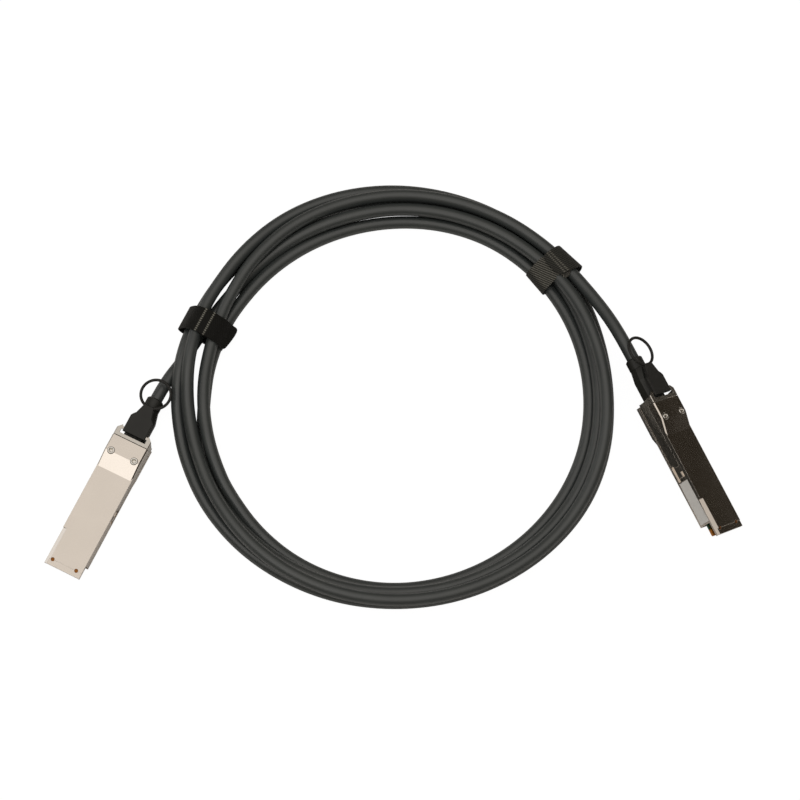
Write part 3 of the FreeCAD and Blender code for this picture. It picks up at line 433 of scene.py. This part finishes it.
# the loose end that shows below the right strap, in the cleft between two strands
TUCKED_END = [(1.6, 14.1), (2.6, 13.5), (3.8, 12.6), (5.2, 13.0), (7.2, 13.5)]

# where the pale painted highlights cross each tape, just past the corners where it bends over a
# cord
LEFT_HIGHLIGHT_RUNS = [run_of(LEFT_WRAP, corner) + 0.9 for corner in (19, 21)]
RIGHT_HIGHLIGHT_RUNS = [run_of(RIGHT_WRAP, 15) + past for past in (1.3, 2.9)]
RIGHT_RIBS_END = run_of(RIGHT_WRAP, 4)


# ---------------------------------------------------------------- the cable's soft pieces

cord = make_cord()
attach(cord, "cable")
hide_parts("cable_coil", "cable_tail_left", "cable_tail_right")

# each tape's third tone is the pale painted highlight at its bends; the second lightens the rib
# crests as a painted highlight
left_weave = woven_tape("black_woven_hook_and_loop", "#11110e", "#25251f", "#a3a298",
                        LEFT_HIGHLIGHT_RUNS, 0.0)
right_weave = woven_tape("grey_black_woven_hook_and_loop", "#1a1b18", "#84827a", "#807e76",
                         RIGHT_HIGHLIGHT_RUNS, RIGHT_RIBS_END)
left_tape = strap("tie_strap_left", LEFT_WRAP, 12.2, (-90.15, 65.9, 0), 153.5, left_weave,
                  tip=2.0)
right_tape = strap("tie_strap_right", RIGHT_WRAP, 12.6, (74.2, 94.15, 0), 38.7, right_weave,
                   lean=0.14, flare=2.0)
tucked_end = strap("tucked_end", TUCKED_END, 3.2, (78.7, 88.5, 0), 38.7, right_weave, lean=-1.5)
bpy.ops.object.select_all(action="DESELECT")
tucked_end.select_set(True)
right_tape.select_set(True)
bpy.context.view_layer.objects.active = right_tape
bpy.ops.object.join()
for tape, node in ((left_tape, "strap_left"), (right_tape, "strap_right")):
    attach(tape, "cable")
    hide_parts(node)


# ---------------------------------------------------------------- return springs

for side, (_, axis) in PLUGS.items():
    node = "return_springs_" + side
    springs = bpy.data.objects.new("squeezed_springs_" + side, frame["nodes"][node].data.copy())
    bpy.context.scene.collection.objects.link(springs)
    bpy.ops.object.select_all(action="DESELECT")
    springs.select_set(True)
    bpy.context.view_layer.objects.active = springs
    bpy.ops.object.mode_set(mode="EDIT")
    bpy.ops.mesh.select_all(action="SELECT")
    bpy.ops.mesh.remove_doubles(threshold=1e-6)
    bpy.ops.object.mode_set(mode="OBJECT")
    springs.data.materials.clear()
    springs.data.materials.append(FINISHES["spring_steel"])
    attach(springs, "cable")
    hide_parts(node)
    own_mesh(springs)


# ---------------------------------------------------------------- studio

PURE_WHITE = "#ffffff"


def lay_floor(size):
    """A pale floor that looks white to the camera, and keeps a trace of the cable's shadow."""
    bpy.ops.object.select_all(action="DESELECT")
    bpy.ops.mesh.primitive_plane_add(size=size)
    floor = bpy.context.object
    floor.name = "studio_floor"
    material, skin = new_material("white_studio_floor")
    skin.inputs["Base Color"].default_value = linear("#fafafa")
    skin.inputs["Roughness"].default_value = 0.9
    glow = add(material, "Emission", {"Color": linear(PURE_WHITE), "Strength": 1.1})
    path = add(material, "LightPath")
    seen = add(material, "Math", {0: path.outputs["Is Camera Ray"], 1: 0.88},
               operation="MULTIPLY")
    blend = add(material, "MixShader", {0: seen.outputs[0], 1: skin.outputs[0],
                                        2: glow.outputs[0]})
    wire(material, blend.outputs[0], material.node_tree.nodes["Material Output"].inputs[0])
    floor.data.materials.append(material)


def raise_sky():
    """A bright ceiling over a dim warm horizon, and plain white where the camera sees it."""
    world = bpy.data.worlds.new("soft_studio")
    bpy.context.scene.world = world
    world.use_nodes = True
    direction = add(world, "TexCoord").outputs["Generated"]
    rise = add(world, "SeparateXYZ", {"Vector": direction}).outputs["Z"]
    ramp = add(world, "ValToRGB", {"Fac": rise})
    ramp.color_ramp.elements[0].color = linear("#2d2923")
    ramp.color_ramp.elements[1].color = linear("#fffaf4")
    for stop, tone in ((0.35, "#464138"), (0.7, "#8f8881"), (0.9, "#efe9e2")):
        ramp.color_ramp.elements.new(stop).color = linear(tone)
    path = add(world, "LightPath")
    mix = add(world, "Mix", {0: path.outputs["Is Camera Ray"], 6: ramp.outputs["Color"],
                             7: linear(PURE_WHITE)}, data_type="RGBA")
    wire(world, mix.outputs[2], world.node_tree.nodes["Background"].inputs["Color"])


def stand(thing, place, aim):
    """Puts a lamp or a camera in the scene at a place, pointed at another."""
    thing.location = place
    thing.rotation_euler = (Vector(aim) - Vector(place)).to_track_quat("-Z", "Y").to_euler()
    bpy.context.scene.collection.objects.link(thing)


def hang_lamp(name, place, aim, across, power):
    """A square soft lamp, in metres and watts."""
    lamp = bpy.data.lights.new(name, "AREA")
    lamp.size = across
    lamp.energy = power
    stand(bpy.data.objects.new(name, lamp), place, aim)


def set_camera(aim, away, elevation, lens):
    """A camera on the -Y side, raised by its elevation in degrees."""
    eye = bpy.data.cameras.new("camera")
    eye.lens, eye.sensor_width = lens, 36.0
    camera = bpy.data.objects.new("camera", eye)
    rise = math.radians(elevation)
    stand(camera, aim + away * Vector((0, -math.cos(rise), math.sin(rise))), aim)
    bpy.context.scene.camera = camera


lay_floor(0.9)
raise_sky()
# the softbox lights the plugs' slopes, and the card lights the edges that face left
hang_lamp("softbox", (-0.58, -0.33, 1.1), (0, 0.03, 0), 0.7, 0.9)
hang_lamp("side_card", (-0.956, 0.663, 0.53), (-0.15, -0.05, 0), 0.5, 0.8)
set_camera(Vector((2.4, 30.0, 6.0)) * MM, 1.3, 73.0, 123.4)
bpy.context.scene.view_settings.view_transform = "Standard"
